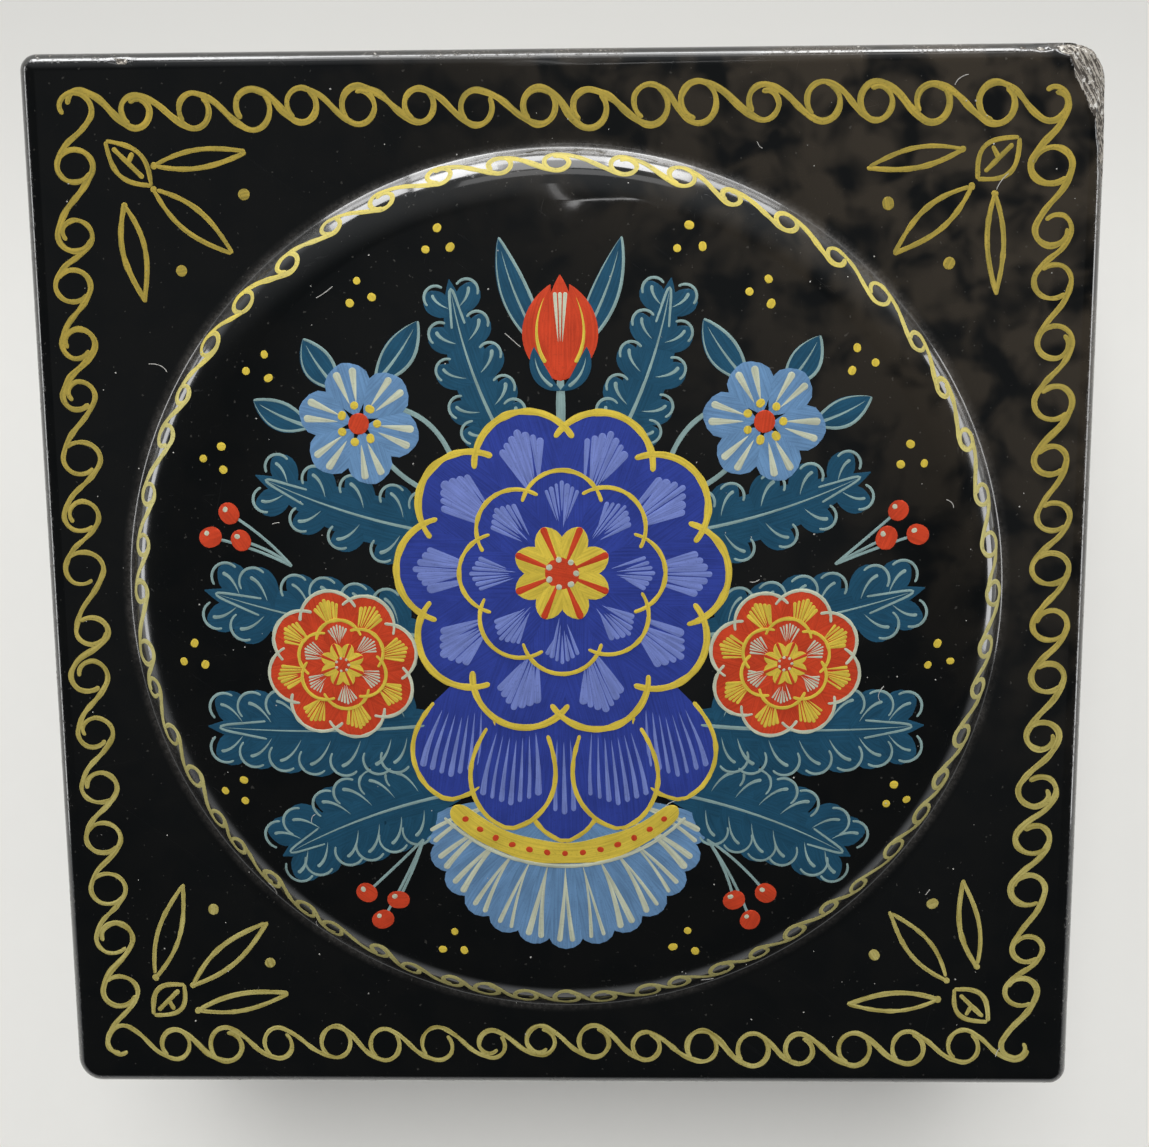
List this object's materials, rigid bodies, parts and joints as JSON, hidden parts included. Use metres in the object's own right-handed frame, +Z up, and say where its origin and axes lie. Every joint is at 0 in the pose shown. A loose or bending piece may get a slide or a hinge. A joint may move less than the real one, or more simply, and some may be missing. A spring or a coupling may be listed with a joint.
{
  "type": "lacquered papier-mache box",
  "caption": "Square black lacquer box of pressed board with a hinged lid, a low round painted dome and a gold scroll border.",
  "frame": {"origin": "centre of the underside of the base, where the box stands", "axes": "+Z up through the lid, -Y towards the front edge that lifts, +Y towards the hinge, +X to the right"},
  "size_m": [0.075, 0.0764, 0.039],
  "materials": {
    "black_lacquer": "glossy black lacquer over pressed papier-mache board",
    "red_lacquer": "glossy red lacquer over pressed papier-mache board",
    "hinge_brass": "aged drawn brass",
    "pin_steel": "drawn steel wire"
  },
  "bodies": {
    "body": {"body_wall": "black_lacquer", "base_board": "red_lacquer", "lip_collar": "red_lacquer", "hinge_body_leaf": "hinge_brass", "hinge_pin": "pin_steel", "hinge_body_tacks": "hinge_brass"},
    "lid": {"lid_frame": "black_lacquer", "lid_board": "black_lacquer", "hinge_lid_leaf": "hinge_brass", "hinge_lid_tacks": "hinge_brass"}
  },
  "joints": [
    {"name": "lid_hinge", "type": "hinge", "parent": "body", "child": "lid", "pos_m": [0, 0.0374, 0.024], "axis": [-1, 0, 0], "range_deg": [0, 100]}
  ]
}
